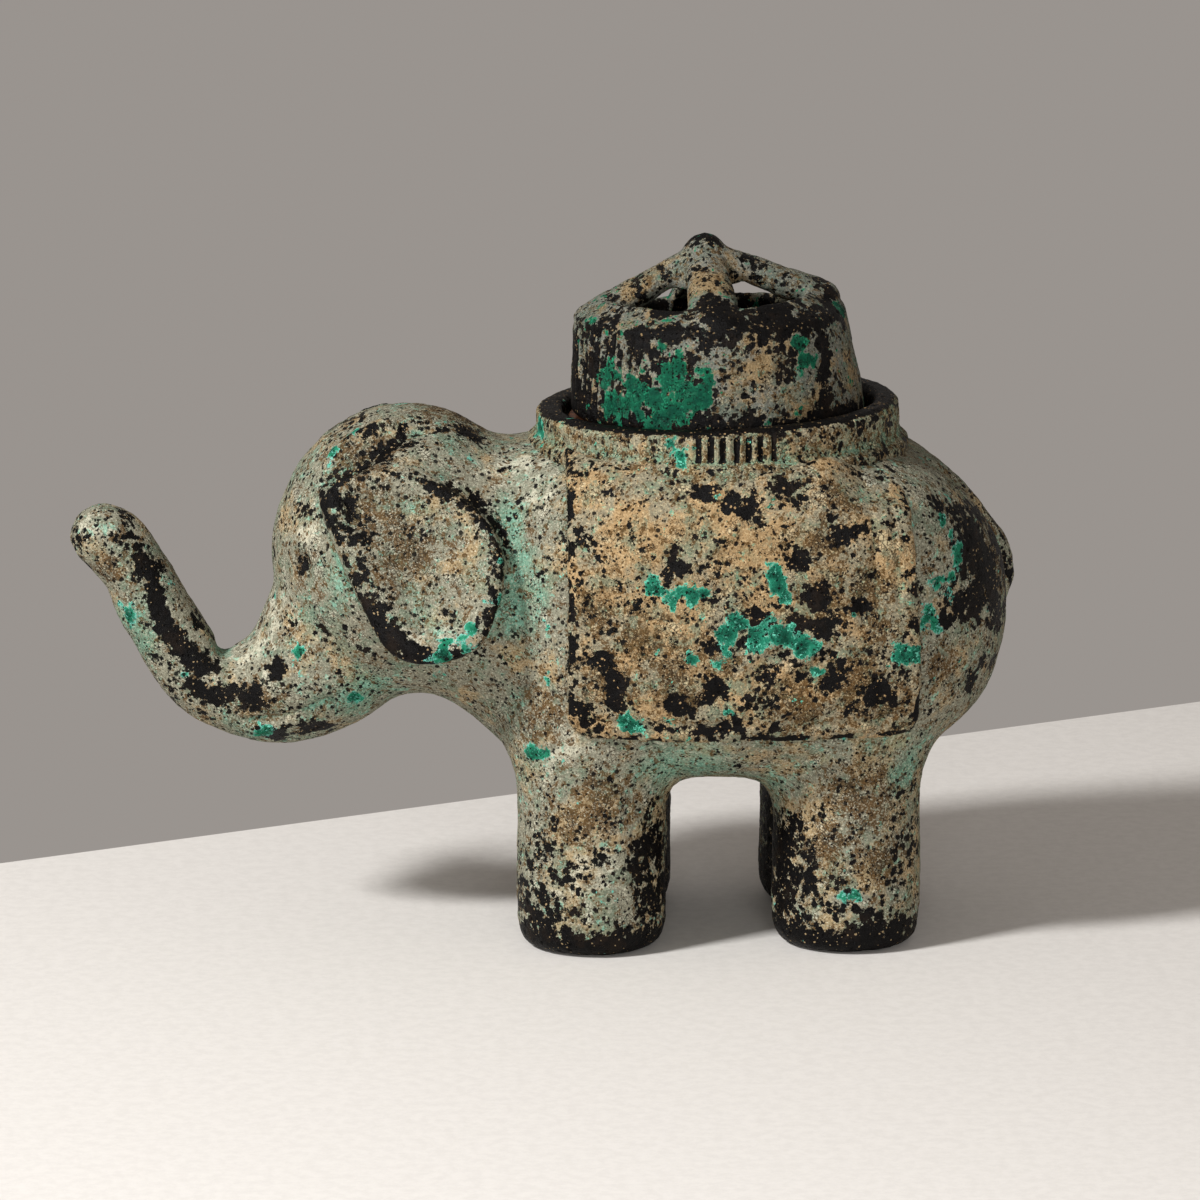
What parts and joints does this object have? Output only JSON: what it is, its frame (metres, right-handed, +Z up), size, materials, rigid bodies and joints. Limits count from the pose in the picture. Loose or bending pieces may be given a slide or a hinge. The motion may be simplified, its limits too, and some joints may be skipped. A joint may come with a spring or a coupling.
{
  "type": "elephant incense burner",
  "caption": "Patinated bronze elephant with a raised trunk that carries a round collared vessel with a lift-out ash liner and a pierced, lift-off lid, for burning incense.",
  "frame": {"origin": "middle of the footprint of the whole object, on the surface that its soles stand on", "axes": "+Z up; +X from the head towards the tail, along the body; +Y towards the elephant's right-hand side"},
  "size_m": [0.2, 0.0878, 0.1484],
  "materials": {
    "bronze_crust": "cast bronze under a pitted tan and grey-green mineral crust, rough and matt",
    "bronze_worn": "the same crust over relief whose raised edges are worn to near-black bronze",
    "bronze_green": "near-black bronze with emerald and pale green corrosion, rough",
    "copper_liner": "spun copper, brown from heat, satin",
    "wood_ash": "loose pale grey ash, matt"
  },
  "bodies": {
    "elephant": {"barrel_shell": "bronze_crust", "head_shell": "bronze_crust", "trunk": "bronze_crust", "left_ear": "bronze_worn", "right_ear": "bronze_worn", "front_left_leg": "bronze_crust", "front_right_leg": "bronze_crust", "rear_left_leg": "bronze_crust", "rear_right_leg": "bronze_crust", "tail": "bronze_crust", "left_saddle_panel": "bronze_worn", "right_saddle_panel": "bronze_worn", "collar_ring": "bronze_worn"},
    "liner": {"ash_liner": "copper_liner", "ash_bed": "wood_ash"},
    "lid": {"lid_drum": "bronze_green", "lid_finial": "bronze_green", "lid_rib_right": "bronze_green", "lid_rib_back": "bronze_green", "lid_rib_left": "bronze_green", "lid_rib_front": "bronze_green"}
  },
  "joints": [
    {"name": "liner_lift", "type": "slide", "parent": "elephant", "child": "liner", "axis": [0, 0, 1], "range_m": [0, 0.06]},
    {"name": "lid_lift", "type": "slide", "parent": "liner", "child": "lid", "axis": [0, 0, 1], "range_m": [0, 0.06]}
  ]
}
